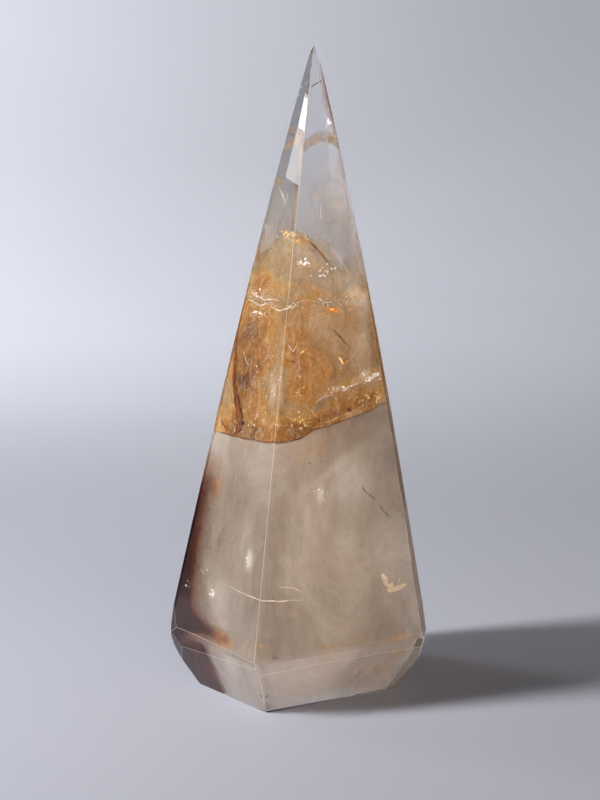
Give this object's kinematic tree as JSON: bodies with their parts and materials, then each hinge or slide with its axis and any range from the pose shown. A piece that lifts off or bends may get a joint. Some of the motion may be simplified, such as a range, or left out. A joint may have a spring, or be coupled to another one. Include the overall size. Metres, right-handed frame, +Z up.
{
  "type": "fire quartz tower",
  "caption": "Tall polished point of clear fire quartz with bowed sides, a sharp tip, an undercut belt round the foot and a flat base.",
  "frame": {"origin": "on the plane of the flat base, under the middle of the bounding box", "axes": "+Z up, from the base to the tip; +X to the right and +Y away from a viewer who faces the front ridge and the broad right side"},
  "size_m": [0.0596, 0.059, 0.1482],
  "materials": {
    "clear_quartz": "polished, see-through, with rusty and milky veils inside"
  },
  "bodies": {
    "root": {"quartz_tower": "clear_quartz"}
  },
  "joints": []
}
